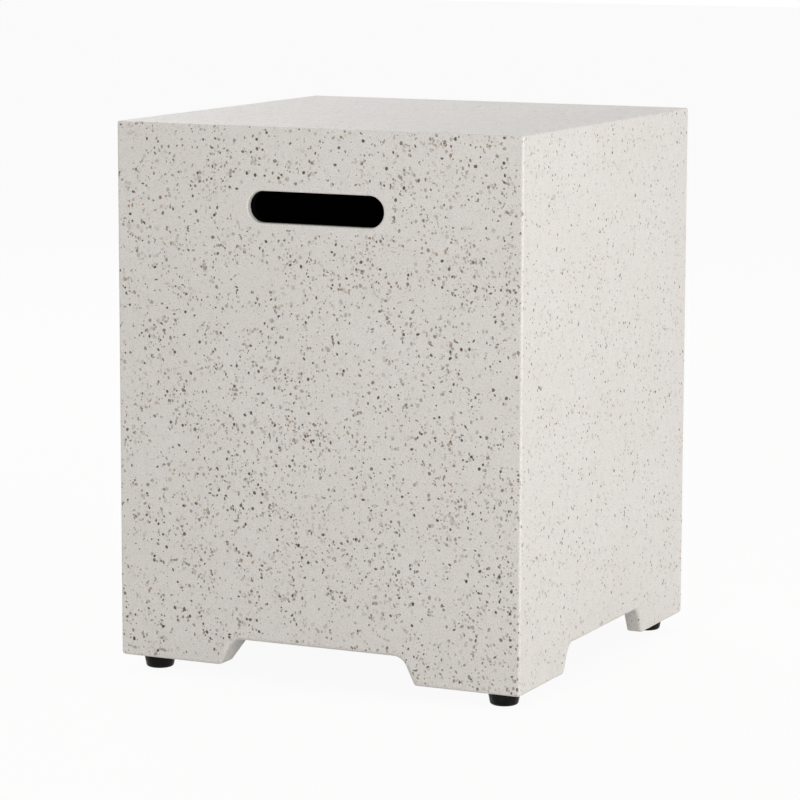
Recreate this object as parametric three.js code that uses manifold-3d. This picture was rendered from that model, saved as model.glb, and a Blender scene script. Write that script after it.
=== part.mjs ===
// Cover table for a gas cylinder: an open-bottomed terrazzo cube on four screw-in levelling feet.
// Millimetres, +Z up, the floor at zero under the middle of the cover, the front at -Y.
import * as THREE from "three";
import { mergeVertices } from "three/addons/utils/BufferGeometryUtils.js";
import Module from "manifold-3d";

// Cover shell: outside, walls and edges
const coverWidth = 400;
const coverDepth = 400;
const coverHeight = 493;
const wallThickness = 16;
const topThickness = 20;
const verticalEdgeRound = 3;
const rimRound = 2;
const insideCornerRound = 12;
const insideTopRound = 8;

// Hand slot through the front and back walls
const slotLength = 134;
const slotHeight = 28.5;
const slotBelowTop = 72;

// Notch in the bottom edge of each wall, which leaves a leg at every corner
const notchTopWidth = 170;
const notchBottomWidth = 194;
const notchHeight = 25;
const notchCornerRound = 14;
const notchToeRound = 4;

// Clearances, and the overrun of every cut
const castClearance = 0.3;
const threadClearance = 0.3;
const mouldClearance = 0.3;
const holeEndClearance = 2;
const cutOverrun = 10;

// Levelling foot: where it stands, its gap under the cover, and how much of that gap it can screw in
const footInset = 26;
const footGap = 2;
const screwIn = 1.5;

// Foot pad, sized round the stud's flange
const padDiameter = 29;
const padSideTaper = 1.5;
const padBottomRound = 3;
const padTopChamfer = 0.8;
const padWall = 3;
const padFloorThickness = 4.5;
const padRoofThickness = 3.4;

// Threaded insert cast into the block
const insertDiameter = 12;
const insertLength = 20;
const insertGrooveDepth = 1;
const insertGrooveWidth = 4;
const insertChamfer = 0.6;

// Levelling stud: a screw that reaches past the insert, on a round flange
const studDiameter = 8;
const studPastInsert = 10;
const studTipChamfer = 1;
const flangeThickness = 3;
const flangeDiameter = padDiameter - 2 * (padSideTaper + padWall + mouldClearance);

// Block inside each corner that carries the foot and thickens the leg up to the notch
const blockPastInsert = 10;
const blockOverHole = 20;
const blockBottomChamfer = 8;
const blockThickness = footInset + insertDiameter / 2 + blockPastInsert;

// Slope that thins the block towards the notch: the depth it leaves there, and how far it runs
const slopeDepthLeft = 22;
const slopeRun = 50;

// Facets of round shapes
const roundSegments = 28;
const arcSegments = 6;

// Heights that follow from the sizes above, over the floor unless their name says otherwise
const flangeBottom = padFloorThickness + mouldClearance;
const flangeTop = flangeBottom + flangeThickness;
const padTop = flangeTop + mouldClearance + padRoofThickness;
const shellBottom = padTop + footGap;
const insertTop = shellBottom + insertLength;
const studTop = insertTop + studPastInsert;
const holeTop = studTop + screwIn + holeEndClearance;
const blockTop = holeTop + blockOverHole;
const shellTop = shellBottom + coverHeight;
const slotMiddle = shellTop - slotBelowTop;

const wasm = await Module();
wasm.setup();

// A closed three.js geometry as a manifold solid.
function solidOf(geometry) {
  const bare = geometry.clone();
  bare.deleteAttribute("normal");
  bare.deleteAttribute("uv");
  const merged = mergeVertices(bare);
  const mesh = new wasm.Mesh({
    numProp: 3,
    vertProperties: merged.attributes.position.array,
    triVerts: new Uint32Array(merged.index.array),
  });
  return new wasm.Manifold(mesh);
}

// A manifold solid as a flat-shaded three.js geometry.
function geometryOf(solid) {
  const mesh = solid.getMesh();
  const geometry = new THREE.BufferGeometry();
  geometry.setAttribute("position", new THREE.BufferAttribute(mesh.vertProperties, 3));
  geometry.setIndex(new THREE.BufferAttribute(mesh.triVerts, 1));
  geometry.computeVertexNormals();
  return geometry;
}

// A closed outline through corners given as [x, y, radius], each corner rounded by its radius.
function roundedOutline(corners) {
  const shape = new THREE.Shape();
  corners.forEach(([x, y, radius], i) => {
    const corner = new THREE.Vector2(x, y);
    const [beforeX, beforeY] = corners[(i + corners.length - 1) % corners.length];
    const [afterX, afterY] = corners[(i + 1) % corners.length];
    const back = new THREE.Vector2(beforeX, beforeY).sub(corner).normalize();
    const ahead = new THREE.Vector2(afterX, afterY).sub(corner).normalize();
    const halfAngle = back.angleTo(ahead) / 2;
    const along = radius / Math.tan(halfAngle);
    const start = corner.clone().addScaledVector(back, along);
    const end = corner.clone().addScaledVector(ahead, along);
    if (i === 0) {
      shape.moveTo(start.x, start.y);
    } else {
      shape.lineTo(start.x, start.y);
    }
    if (radius > 0) {
      const middle = back.clone().add(ahead).normalize();
      const centre = corner.clone().addScaledVector(middle, radius / Math.sin(halfAngle));
      const from = start.clone().sub(centre).angle();
      const to = end.clone().sub(centre).angle();
      shape.absarc(centre.x, centre.y, radius, from, to, back.cross(ahead) > 0);
    }
  });
  shape.closePath();
  return shape;
}

// A rectangle about the middle, with rounded corners.
function roundedRectangle(width, depth, radius) {
  const x = width / 2;
  const y = depth / 2;
  return roundedOutline([
    [-x, -y, radius],
    [x, -y, radius],
    [x, y, radius],
    [-x, y, radius],
  ]);
}

// An upright block whose top and bottom edges are rounded by the bevel.
function bevelledBlock(width, depth, bottom, top, cornerRound, bevel) {
  const outlineRound = Math.max(cornerRound - bevel, 0);
  const outline = roundedRectangle(width - 2 * bevel, depth - 2 * bevel, outlineRound);
  const geometry = new THREE.ExtrudeGeometry(outline, {
    depth: top - bottom - 2 * bevel,
    bevelEnabled: true,
    bevelSize: bevel,
    bevelThickness: bevel,
    bevelSegments: arcSegments / 2,
    curveSegments: arcSegments,
  });
  return solidOf(geometry.translate(0, 0, bottom + bevel));
}

// An outline in X and Z extruded along Y, its middle at y = 0.
function acrossDepth(outline, length) {
  const geometry = new THREE.ExtrudeGeometry(outline, {
    depth: length,
    bevelEnabled: false,
    curveSegments: arcSegments,
  });
  return geometry.translate(0, 0, -length / 2).rotateX(Math.PI / 2);
}

// A solid of revolution about the Z axis from [radius, height] points.
function turned(points) {
  const profile = points.map(([radius, height]) => new THREE.Vector2(radius, height));
  return new THREE.LatheGeometry(profile, roundSegments).rotateX(Math.PI / 2);
}

// Points of a quarter turn, or part of one, about a centre, as [radius, height] pairs.
function arcPoints(centreRadius, centreHeight, radius, fromAngle, toAngle) {
  return Array.from({ length: arcSegments + 1 }, (_, i) => {
    const angle = THREE.MathUtils.lerp(fromAngle, toAngle, i / arcSegments);
    return [centreRadius + radius * Math.cos(angle), centreHeight + radius * Math.sin(angle)];
  });
}

// The hand slot's outline, a stadium about the middle.
function slotOutline() {
  const straight = slotLength / 2 - slotHeight / 2;
  const radius = slotHeight / 2;
  const shape = new THREE.Shape();
  shape.absarc(straight, slotMiddle, radius, -Math.PI / 2, Math.PI / 2, false);
  shape.absarc(-straight, slotMiddle, radius, Math.PI / 2, Math.PI * 1.5, false);
  shape.closePath();
  return shape;
}

// The notch's outline: rounded upper corners, slanted flanks, and toes that run out into the underside.
function notchOutline() {
  const top = notchTopWidth / 2;
  const bottom = notchBottomWidth / 2;
  const beyond = bottom + notchToeRound + cutOverrun;
  const ceiling = shellBottom + notchHeight;
  const low = shellBottom - cutOverrun;
  return roundedOutline([
    [-beyond, low, 0],
    [beyond, low, 0],
    [beyond, shellBottom, 0],
    [bottom, shellBottom, notchToeRound],
    [top, ceiling, notchCornerRound],
    [-top, ceiling, notchCornerRound],
    [-bottom, shellBottom, notchToeRound],
    [-beyond, shellBottom, 0],
  ]);
}

// The corner block at +X +Y: its section in depth and height, run along the wall from the notch outwards.
// It is what the hollow leaves standing, so it runs on through the wall and below the cover.
function cornerBlock() {
  const outside = coverDepth / 2;
  const inside = outside - blockThickness;
  const low = shellBottom - cutOverrun;
  const chamferTop = shellBottom + blockBottomChamfer;
  const section = roundedOutline([
    [outside, low, 0],
    [outside, blockTop + blockThickness, 0],
    [inside, blockTop, 0],
    [inside, chamferTop, 0],
    [inside + chamferTop - low, low, 0],
  ]);
  const start = notchTopWidth / 2;
  const geometry = new THREE.ExtrudeGeometry(section, {
    depth: coverWidth / 2 - start,
    bevelEnabled: false,
  });
  // The section turns to stand across X, and its run to point along +X.
  return geometry.rotateX(Math.PI / 2).rotateZ(Math.PI / 2).translate(start, 0, 0);
}

// The slope's cut at the same corner, inwards and upwards at one to one, and shallower away from the notch.
function blockSlope() {
  const start = notchTopWidth / 2 - cutOverrun;
  const inside = coverDepth / 2 - blockThickness - cutOverrun;
  const low = shellBottom - cutOverrun;
  const perLength = (blockThickness - slopeDepthLeft) / slopeRun;
  const edge = coverDepth / 2 - slopeDepthLeft + cutOverrun;
  const reach = edge - (start - notchBottomWidth / 2) * perLength - inside;
  return wasm.Manifold.hull([
    [start, inside, low],
    [start, inside + reach, low],
    [start, inside, low + reach],
    [start + reach / perLength, inside, low],
  ]);
}

// The insert's outer wall from its mouth upwards, grown by a clearance, as [radius, height] points.
function insertWall(grow) {
  const radius = insertDiameter / 2 + grow;
  const waist = radius - insertGrooveDepth;
  const middle = (shellBottom + insertTop) / 2;
  const low = middle - insertGrooveWidth / 2 + grow;
  const high = middle + insertGrooveWidth / 2 - grow;
  return [
    [radius, low],
    [waist, low],
    [waist, high],
    [radius, high],
  ];
}

// The hole in the block: the insert's seat, and a free hole above it for the stud's end.
function insertPocket() {
  const seat = insertDiameter / 2 + castClearance;
  const free = studDiameter / 2 + threadClearance;
  const seatTop = insertTop + castClearance;
  return solidOf(
    turned([
      [0, shellBottom - cutOverrun],
      [seat, shellBottom - cutOverrun],
      ...insertWall(castClearance),
      [seat, seatTop],
      [free, seatTop],
      [free, holeTop],
      [0, holeTop],
    ]),
  );
}

// Each foot's place: its name and which side of the middle it is on.
const corners = [
  { name: "front_left", x: -1, y: -1 },
  { name: "front_right", x: 1, y: -1 },
  { name: "back_left", x: -1, y: 1 },
  { name: "back_right", x: 1, y: 1 },
];
const footX = coverWidth / 2 - footInset;
const footY = coverDepth / 2 - footInset;

// The whole cover shell, hollow from below.
function coverShell() {
  const outside = bevelledBlock(
    coverWidth,
    coverDepth,
    shellBottom,
    shellTop,
    verticalEdgeRound,
    rimRound,
  );
  let hollow = bevelledBlock(
    coverWidth - 2 * wallThickness,
    coverDepth - 2 * wallThickness,
    shellBottom - cutOverrun,
    shellTop - topThickness,
    insideCornerRound,
    insideTopRound,
  );
  const block = solidOf(cornerBlock());
  for (const { x, y } of corners) {
    hollow = hollow.subtract(block.scale([x, y, 1]));
  }
  const slots = solidOf(acrossDepth(slotOutline(), coverDepth + 2 * cutOverrun));
  const notchesAcrossDepth = solidOf(acrossDepth(notchOutline(), coverDepth + 2 * cutOverrun));
  const notchesAcrossWidth = solidOf(
    acrossDepth(notchOutline(), coverWidth + 2 * cutOverrun).rotateZ(Math.PI / 2),
  );
  let shell = outside.subtract(hollow);
  shell = shell.subtract(slots).subtract(notchesAcrossDepth).subtract(notchesAcrossWidth);
  const pocket = insertPocket();
  const slope = blockSlope();
  for (const { x, y } of corners) {
    shell = shell.subtract(pocket.translate([x * footX, y * footY, 0]));
    shell = shell.subtract(slope.scale([x, y, 1]));
  }
  return geometryOf(shell);
}

// The insert: a bush with a plain bore for the stud and a groove that keys it in the cast block.
function threadedInsert() {
  const bore = studDiameter / 2 + threadClearance;
  const radius = insertDiameter / 2;
  return turned([
    [bore + insertChamfer, shellBottom],
    [radius - insertChamfer, shellBottom],
    [radius, shellBottom + insertChamfer],
    ...insertWall(0),
    [radius, insertTop - insertChamfer],
    [radius - insertChamfer, insertTop],
    [bore + insertChamfer, insertTop],
    [bore, insertTop - insertChamfer],
    [bore, shellBottom + insertChamfer],
    [bore + insertChamfer, shellBottom],
  ]);
}

// The stud: a round flange that sits in the pad, and the screw above it.
function levellingStud() {
  const radius = studDiameter / 2;
  return turned([
    [0, flangeBottom],
    [flangeDiameter / 2, flangeBottom],
    [flangeDiameter / 2, flangeTop],
    [radius, flangeTop],
    [radius, studTop - studTipChamfer],
    [radius - studTipChamfer, studTop],
    [0, studTop],
  ]);
}

// The pad: a short black cup foot, moulded round the flange and open only where the stud leaves it.
function footPad() {
  const radius = padDiameter / 2;
  const low = radius - padSideTaper;
  const contact = low - padBottomRound;
  const pocket = flangeDiameter / 2 + mouldClearance;
  const neck = studDiameter / 2 + mouldClearance;
  const pocketTop = flangeTop + mouldClearance;
  return turned([
    [0, 0],
    ...arcPoints(contact, padBottomRound, padBottomRound, -Math.PI / 2, 0),
    [radius, padTop - padTopChamfer],
    [radius - padTopChamfer, padTop],
    [neck, padTop],
    [neck, pocketTop],
    [pocket, pocketTop],
    [pocket, padFloorThickness],
    [0, padFloorThickness],
  ]);
}

const terrazzo = { color: "#cfcac5", roughness: 0.55, metalness: 0 };
const brass = { color: "#b5954f", roughness: 0.35, metalness: 0.9 };
const zincSteel = { color: "#a9adb1", roughness: 0.35, metalness: 0.9 };
const blackPlastic = { color: "#161616", roughness: 0.5, metalness: 0 };

// A named mesh with a material of its own.
function piece(name, geometry, look) {
  const mesh = new THREE.Mesh(geometry, new THREE.MeshStandardMaterial(look));
  mesh.name = name;
  return mesh;
}

const cover = new THREE.Group();
cover.add(piece("cover_shell", coverShell(), terrazzo));
for (const { name, x, y } of corners) {
  const foot = new THREE.Group();
  foot.position.set(x * footX, y * footY, 0);
  foot.add(piece(`threaded_insert_${name}`, threadedInsert(), brass));
  foot.add(piece(`levelling_stud_${name}`, levellingStud(), zincSteel));
  foot.add(piece(`foot_pad_${name}`, footPad(), blackPlastic));
  cover.add(foot);
}

export default cover;
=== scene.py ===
"""Looks of the cover table: a terrazzo shell set with stone chips, its four screw feet, and a plain studio.

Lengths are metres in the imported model's own frame: +Z up, the floor at zero, the front at -Y.
"""

import logging
import math
from collections.abc import Callable, Sequence
from dataclasses import dataclass, field
from enum import Enum
from typing import Any

import bmesh
import bpy
from mathutils import Matrix, Vector

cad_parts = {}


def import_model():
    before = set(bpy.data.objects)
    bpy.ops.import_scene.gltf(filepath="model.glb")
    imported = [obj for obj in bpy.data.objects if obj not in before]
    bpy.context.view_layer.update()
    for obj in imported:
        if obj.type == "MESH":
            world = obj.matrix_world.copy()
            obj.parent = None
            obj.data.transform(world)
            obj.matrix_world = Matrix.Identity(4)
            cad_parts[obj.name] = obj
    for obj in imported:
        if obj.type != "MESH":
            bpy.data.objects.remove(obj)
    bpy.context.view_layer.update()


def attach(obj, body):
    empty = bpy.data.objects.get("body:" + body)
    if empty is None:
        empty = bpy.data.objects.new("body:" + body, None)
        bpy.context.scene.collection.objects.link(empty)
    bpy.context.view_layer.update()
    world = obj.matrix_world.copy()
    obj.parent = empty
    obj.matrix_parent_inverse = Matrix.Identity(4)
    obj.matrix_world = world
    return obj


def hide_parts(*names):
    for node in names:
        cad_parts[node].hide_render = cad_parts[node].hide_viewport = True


LOG = logging.getLogger("cover_table")
MM = 0.001
TONE = "tone"
MOST_NOISE = (0.3, 0.7)

Point2 = tuple[float, float]
Colour = tuple[float, float, float, float]
Range = tuple[float, float]
Settings = dict[str, Any] | None
Inputs = dict[str | int, Any] | None


class Corner(Enum):
    """The four feet, each by the side of the middle that it is on in X and Y."""

    FRONT_LEFT = (-1, -1)
    FRONT_RIGHT = (1, -1)
    BACK_LEFT = (-1, 1)
    BACK_RIGHT = (1, 1)

    @property
    def label(self) -> str:
        """The corner's part of a CAD name."""
        return self.name.lower()


class Along(Enum):
    """The direction in which an outline is drawn out, as a turn of (across, up, out) into X, Y and Z."""

    X = ((0, 0, 1), (1, 0, 0), (0, 1, 0))
    Y = ((1, 0, 0), (0, 0, 1), (0, 1, 0))
    Z = ((1, 0, 0), (0, 1, 0), (0, 0, 1))

    def place(self, across: float, up: float, out: float) -> Vector:
        """Turn an outline's two coordinates and a distance along the direction into a point."""
        return Matrix(self.value) @ Vector((across, up, out))


def colour(text: str) -> Colour:
    """Read a colour as a screen shows it.

    Args:
        text: Six hexadecimal digits after a hash sign.

    Returns:
        Linear red, green and blue, and an alpha of one.
    """
    shares = [int(text[i : i + 2], 16) / 255 for i in (1, 3, 5)]
    linear = [s / 12.92 if s <= 0.04045 else ((s + 0.055) / 1.055) ** 2.4 for s in shares]
    return (linear[0], linear[1], linear[2], 1.0)


def wire_operator(operation: str, swapped: bool = False) -> Callable[["Wire", "Wire | float"], "Wire"]:
    """Make an operator for wires.

    Args:
        operation: What its Math node does.
        swapped: Whether the wire is the node's second value.

    Returns:
        The operator, as a method of Wire.
    """

    def combine(self: "Wire", other: "Wire | float") -> "Wire":
        """Put both values through the Math node."""
        return self.math(operation, *((other, self) if swapped else (self, other)))

    return combine


class Wire:
    """An output socket that Python's operators turn into Math nodes."""

    def __init__(self, bench: "Bench", socket: bpy.types.NodeSocket) -> None:
        """Keep the socket and the bench that makes its nodes."""
        self.bench = bench
        self.socket = socket

    def math(self, operation: str, *values: "Wire | float") -> "Wire":
        """The result of a Math node with an operation and its inputs in order."""
        return self.bench.made("ShaderNodeMath", {"operation": operation}, dict(enumerate(values)))

    def __abs__(self) -> "Wire":
        """The size without its sign."""
        return self.math("ABSOLUTE", self)

    def sine(self) -> "Wire":
        """The sine of an angle in radians."""
        return self.math("SINE", self)

    __add__ = __radd__ = wire_operator("ADD")
    __sub__ = wire_operator("SUBTRACT")
    __rsub__ = wire_operator("SUBTRACT", swapped=True)
    __mul__ = __rmul__ = wire_operator("MULTIPLY")
    __truediv__ = wire_operator("DIVIDE")
    __pow__ = wire_operator("POWER")
    __lt__ = wire_operator("LESS_THAN")
    __gt__ = wire_operator("GREATER_THAN")
    least = wire_operator("MINIMUM")
    most = wire_operator("MAXIMUM")


class Bench:
    """Where the nodes of one tree are made, for a material as for Geometry Nodes."""

    def __init__(self, tree: bpy.types.NodeTree) -> None:
        """Take an empty tree."""
        self.tree = tree

    def node(self, kind: str, settings: Settings = None, inputs: Inputs = None) -> bpy.types.Node:
        """Make any node.

        Args:
            kind: The node's type.
            settings: Its properties, which are set first.
            inputs: Values or wires for its sockets, by name or number.

        Returns:
            The node.
        """
        made = self.tree.nodes.new(kind)
        for name, value in (settings or {}).items():
            setattr(made, name, value)
        for name, value in (inputs or {}).items():
            if isinstance(value, Wire):
                self.tree.links.new(value.socket, made.inputs[name])
            else:
                made.inputs[name].default_value = value
        return made

    def wire(self, node: bpy.types.Node, output: str | int = 0) -> Wire:
        """One output of a node."""
        return Wire(self, node.outputs[output])

    def made(
        self, kind: str, settings: Settings = None, inputs: Inputs = None, output: str | int = 0
    ) -> Wire:
        """One output of a new node."""
        return self.wire(self.node(kind, settings, inputs), output)

    def span(self, value: Wire, part: Range, given: Range = (0.0, 1.0)) -> Wire:
        """Stretch a part of a value's range smoothly to another range, whose ends hold beyond it."""
        ends = {0: value, 1: part[0], 2: part[1], 3: given[0], 4: given[1]}
        return self.made("ShaderNodeMapRange", {"interpolation_type": "SMOOTHSTEP"}, ends)

    def axes(self, vector: Wire) -> tuple[Wire, Wire, Wire]:
        """The three numbers of a vector."""
        node = self.node("ShaderNodeSeparateXYZ", None, {0: vector})
        return self.wire(node, 0), self.wire(node, 1), self.wire(node, 2)

    def noise(
        self, place: Wire, per_metre: Wire | float, detail: float, warp: float = 0.0, output: str = "Fac"
    ) -> Wire:
        """Cloudy noise, with finer layers by its detail: its value, or its colour as a vector."""
        inputs = {"Vector": place, "Scale": per_metre, "Detail": detail, "Distortion": warp}
        return self.made("ShaderNodeTexNoise", None, inputs, output)


class Paint(Bench):
    """The bench of one material, with a Principled shader to feed."""

    def __init__(self, name: str) -> None:
        """Start a material.

        Args:
            name: The material's name.
        """
        self.material = bpy.data.materials.new(name)
        self.material.use_nodes = True
        super().__init__(self.material.node_tree)
        self.tree.nodes.clear()
        self.place = self.wire(self.node("ShaderNodeTexCoord"), "Object")

    def mixed(self, share: Wire, first: Wire | Colour, second: Wire | Colour) -> Wire:
        """Mix two colours, with a share of the second."""
        return self.made("ShaderNodeMix", {"data_type": "RGBA"}, {0: share, 6: first, 7: second}, 2)

    def cells(self, per_metre: float) -> tuple[Wire, Wire]:
        """The distance from the middle of scattered cells, in cells, and each cell's own random colour."""
        node = self.node("ShaderNodeTexVoronoi", None, {"Vector": self.place, "Scale": per_metre})
        return self.wire(node, "Distance"), self.wire(node, "Color")

    def surface(self, base: Wire | Colour, roughness: Wire | float, bump: Wire, **constants: float) -> Wire:
        """Make one Principled surface.

        Args:
            base: Base colour.
            roughness: Roughness.
            bump: Height of the surface in metres.
            **constants: Other sockets of the shader, with underscores for spaces.

        Returns:
            The shader.
        """
        relief = self.made("ShaderNodeBump", None, {"Strength": 1.0, "Distance": 1.0, "Height": bump})
        inputs: dict[str | int, Any] = {"Base Color": base, "Roughness": roughness, "Normal": relief}
        inputs |= {name.replace("_", " "): value for name, value in constants.items()}
        return self.made("ShaderNodeBsdfPrincipled", None, inputs)

    def coated(self, share: Wire, first: Wire, second: Wire) -> Wire:
        """Lay a second surface over a first where the share is one."""
        return self.made("ShaderNodeMixShader", None, {0: share, 1: first, 2: second})

    def finish(self, shader: Wire) -> bpy.types.Material:
        """Close the material with its shader."""
        self.node("ShaderNodeOutputMaterial", None, {"Surface": shader})
        return self.material


class Pattern(Bench):
    """The bench of one Geometry Nodes tree, whose inputs are named."""

    def __init__(self, name: str) -> None:
        """Start a tree that takes and gives geometry.

        Args:
            name: The tree's name.
        """
        super().__init__(bpy.data.node_groups.new(name, "GeometryNodeTree"))
        self.identifiers: dict[str, str] = {}
        self.tree.interface.new_socket("Geometry", in_out="INPUT", socket_type="NodeSocketGeometry")
        self.tree.interface.new_socket("Geometry", in_out="OUTPUT", socket_type="NodeSocketGeometry")
        self.entry = self.node("NodeGroupInput")
        self.geometry = self.wire(self.entry, "Geometry")

    def inlet(self, name: str, kind: str = "NodeSocketFloat") -> Wire:
        """Add a named input.

        Args:
            name: The input's name.
            kind: Its socket type.

        Returns:
            The input's value inside the tree.
        """
        item = self.tree.interface.new_socket(name, in_out="INPUT", socket_type=kind)
        self.identifiers[name] = item.identifier
        return self.wire(self.entry, name)

    def inlets(self, *names: str) -> list[Wire]:
        """Add several inputs that are plain numbers."""
        return [self.inlet(name) for name in names]

    def chance(self, seed: Wire, step: int, between: Range = (0.0, 1.0)) -> Wire:
        """A random number for each element, set apart from other draws by its step."""
        inputs = {2: between[0], 3: between[1], "Seed": seed + step}
        return self.made("FunctionNodeRandomValue", {"data_type": "FLOAT"}, inputs, 1)

    def close(self, geometry: Wire) -> None:
        """End the tree with real faces in one material, which is its input Finish.

        Args:
            geometry: What the tree has made.
        """
        finish = self.inlet("Finish", "NodeSocketMaterial")
        real = self.made("GeometryNodeRealizeInstances", None, {"Geometry": geometry})
        dressed = self.made("GeometryNodeSetMaterial", None, {"Geometry": real, "Material": finish})
        self.node("NodeGroupOutput", None, {"Geometry": dressed})

    def grow(self, name: str, start: bpy.types.Mesh, values: dict[str, Any]) -> bpy.types.Object:
        """Run the tree on a mesh and keep the result as a plain mesh.

        Args:
            name: The new object's name.
            start: The mesh that the tree takes.
            values: The tree's inputs, by name.

        Returns:
            The new object.
        """
        made = new_object(name, start)
        modifier = made.modifiers.new(name, "NODES")
        modifier.node_group = self.tree
        for key, value in values.items():
            modifier[self.identifiers[key]] = value
        settle(made)
        return made


def new_object(name: str, mesh: bpy.types.Mesh) -> bpy.types.Object:
    """Put a mesh in the scene.

    Args:
        name: The object's name.
        mesh: Its mesh.

    Returns:
        The object.
    """
    made = bpy.data.objects.new(name, mesh)
    bpy.context.scene.collection.objects.link(made)
    return made


def settle(made: bpy.types.Object) -> None:
    """Turn an object's evaluated shape into its plain mesh and drop its modifiers.

    Args:
        made: The object.
    """
    graph = bpy.context.evaluated_depsgraph_get()
    mesh = bpy.data.meshes.new_from_object(made.evaluated_get(graph))
    made.modifiers.clear()
    mesh.name = made.name
    made.data = mesh


def solid(name: str, shape: bmesh.types.BMesh) -> bpy.types.Object:
    """Make an object of a bmesh and free the bmesh.

    Args:
        name: The object's name.
        shape: The bmesh.

    Returns:
        The object.
    """
    mesh = bpy.data.meshes.new(name)
    shape.to_mesh(mesh)
    shape.free()
    return new_object(name, mesh)


def rounded(corners: Sequence[tuple[float, float, float]], steps: int) -> list[Point2]:
    """Round the corners of a closed outline.

    Args:
        corners: Two coordinates and the radius of each corner.
        steps: Straight pieces in each rounding.

    Returns:
        The outline's points.
    """
    points: list[Point2] = []
    for i, (x, y, radius) in enumerate(corners):
        corner = Vector((x, y))
        back = (Vector(corners[i - 1][:2]) - corner).normalized()
        ahead = (Vector(corners[(i + 1) % len(corners)][:2]) - corner).normalized()
        if radius == 0:
            points.append((x, y))
            continue
        half = back.angle(ahead) / 2
        centre = corner + (back + ahead).normalized() * radius / math.sin(half)
        first = corner + back * radius / math.tan(half) - centre
        last = corner + ahead * radius / math.tan(half) - centre
        start = math.atan2(first.y, first.x)
        sweep = (math.atan2(last.y, last.x) - start + math.pi) % math.tau - math.pi
        for k in range(steps + 1):
            angle = start + sweep * k / steps
            points.append((centre.x + radius * math.cos(angle), centre.y + radius * math.sin(angle)))
    return points


def prism(name: str, outline: Sequence[Point2], low: float, high: float, along: Along) -> bpy.types.Object:
    """Draw an outline out into a closed solid.

    Args:
        name: The object's name.
        outline: The outline's points.
        low: Where the solid starts.
        high: Where it ends.
        along: The direction in which it is drawn out.

    Returns:
        The solid.
    """
    shape = bmesh.new()
    near = [shape.verts.new(along.place(u, v, low)) for u, v in outline]
    far = [shape.verts.new(along.place(u, v, high)) for u, v in outline]
    shape.faces.new(near)
    shape.faces.new(far)
    for i in range(len(outline)):
        j = (i + 1) % len(outline)
        shape.faces.new((near[i], near[j], far[j], far[i]))
    bmesh.ops.recalc_face_normals(shape, faces=shape.faces)
    return solid(name, shape)


def cut(target: bpy.types.Object, tool: bpy.types.Object) -> None:
    """Take one solid out of another and remove the tool.

    Args:
        target: The solid that is kept.
        tool: The solid that is taken out of it.
    """
    modifier = target.modifiers.new("cut", "BOOLEAN")
    modifier.operation = "DIFFERENCE"
    modifier.solver = "EXACT"
    modifier.object = tool
    settle(target)
    bpy.data.objects.remove(tool)


def turned(profile: Sequence[Point2], segments: int, centre: Point2) -> bmesh.types.BMesh:
    """Turn a profile about an upright axis.

    Args:
        profile: Radius and height of each point, from the bottom of the outside round to the inside.
        segments: Facets round the axis.
        centre: Where the axis stands.

    Returns:
        The closed shape.
    """
    shape = bmesh.new()
    rings: list[list[bmesh.types.BMVert]] = []
    for radius, height in profile:
        turns = [math.tau * k / segments for k in range(segments if radius > 0 else 1)]
        spots = [(centre[0] + radius * math.cos(a), centre[1] + radius * math.sin(a)) for a in turns]
        rings.append([shape.verts.new((*spot, height)) for spot in spots])
    pairs = list(zip(rings, rings[1:]))
    if profile[0][0] > 0:
        pairs.append((rings[-1], rings[0]))
    for lower, upper in pairs:
        for k in range(segments):
            n = (k + 1) % segments
            around = [lower[k % len(lower)], lower[n % len(lower)]]
            around += [upper[n % len(upper)], upper[k % len(upper)]]
            shape.faces.new(list(dict.fromkeys(around)))
    bmesh.ops.recalc_face_normals(shape, faces=shape.faces)
    return shape


def arc(centre: Point2, radius: float, start: float, end: float, steps: int) -> list[Point2]:
    """Points on part of a circle, from one angle to another in degrees, by a number of straight pieces."""
    angles = [math.radians(start + (end - start) * k / steps) for k in range(steps + 1)]
    return [(centre[0] + radius * math.cos(a), centre[1] + radius * math.sin(a)) for a in angles]


def smooth(mesh: bpy.types.Mesh, degrees: float) -> None:
    """Shade faces smoothly and keep the edges that are sharper than an angle."""
    mesh.shade_smooth()
    mesh.set_sharp_from_angle(angle=math.radians(degrees))


@dataclass(frozen=True)
class PaintedShadeSpace:
    """The part of the shell's surface painted near-black as painted shade for the dark hollow, told by
    position alone.
    """

    inside: float = 184.5 * MM
    low: float = 42.5 * MM
    high: float = 487 * MM
    slot_half_length: float = 75 * MM
    slot_low: float = 415 * MM
    slot_high: float = 454 * MM
    behind_face: float = 194.6 * MM

    def mask(self, bench: Bench, place: Wire, uneven: Wire | float) -> Wire:
        """Say where the shade is painted.

        Args:
            bench: Where the nodes are made.
            place: The point that is asked about.
            uneven: How far the edge of the painted shade strays there.

        Returns:
            One where the shade is painted, else zero.
        """
        x, y, z = bench.axes(place)
        x, y = abs(x), abs(y)
        hollow = (x < self.inside) * (y < self.inside) * (z > self.low + uneven) * (z < self.high)
        return hollow.most(self.around_slot(bench, place) * (y + uneven < self.behind_face))

    def around_slot(self, bench: Bench, place: Wire) -> Wire:
        """One where the hand slots and their rounded lips are, seen from the front or back, else zero."""
        x, _, z = bench.axes(place)
        return (abs(x) < self.slot_half_length) * (z > self.slot_low) * (z < self.slot_high)


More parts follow.
